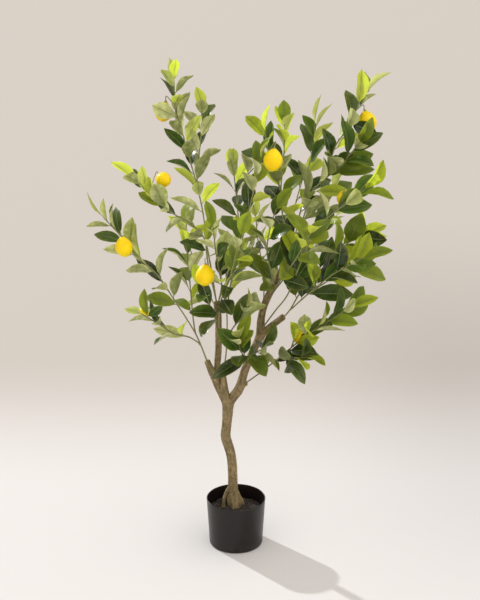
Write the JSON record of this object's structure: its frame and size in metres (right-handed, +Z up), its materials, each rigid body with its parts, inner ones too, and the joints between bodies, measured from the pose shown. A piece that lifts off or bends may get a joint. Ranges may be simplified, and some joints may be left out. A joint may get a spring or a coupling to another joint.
{
  "type": "potted lemon tree",
  "caption": "Slim lemon tree with a forked woody trunk, open crown of leafy sprays and hanging lemons, standing in a plain round tapered pot filled with soil.",
  "frame": {"origin": "centre of the pot's flat underside", "axes": "+Z up, +X to the viewer's right and +Y away from the viewer, seen from the side that the lemons and blades face"},
  "size_m": [0.7273, 0.5099, 1.2442],
  "materials": {
    "pot": "smooth satin, near-black brown",
    "soil": "matt dark grey, slightly lumpy",
    "bark": "matt olive-brown bark with long ridges",
    "leaf": "glossy green above, matt grey-green below",
    "lemon": "waxy yellow, finely dimpled"
  },
  "bodies": {
    "root": {"pot": "pot", "soil": "soil", "trunk": "bark", "spray_far_left": "leaf", "spray_top_left": "leaf", "spray_left": "leaf", "spray_front_left": "leaf", "spray_back_top": "leaf", "spray_middle": "leaf", "spray_low_right": "leaf", "spray_low_front": "leaf", "spray_right": "leaf", "spray_front_right": "leaf", "spray_top_centre": "leaf", "spray_top_back": "leaf", "spray_top_right": "leaf", "spray_centre": "leaf", "spray_centre_back": "leaf", "spray_centre_right": "leaf", "spray_back_left": "leaf", "spray_back": "leaf", "spray_back_right": "leaf", "spray_front": "leaf", "spray_front_low": "leaf", "spray_side_left": "leaf", "lemon_01": "lemon", "lemon_02": "lemon", "lemon_03": "lemon", "lemon_04": "lemon", "lemon_05": "lemon", "lemon_06": "lemon", "lemon_07": "lemon", "lemon_08": "lemon", "lemon_09": "lemon", "lemon_10": "lemon"}
  },
  "joints": []
}
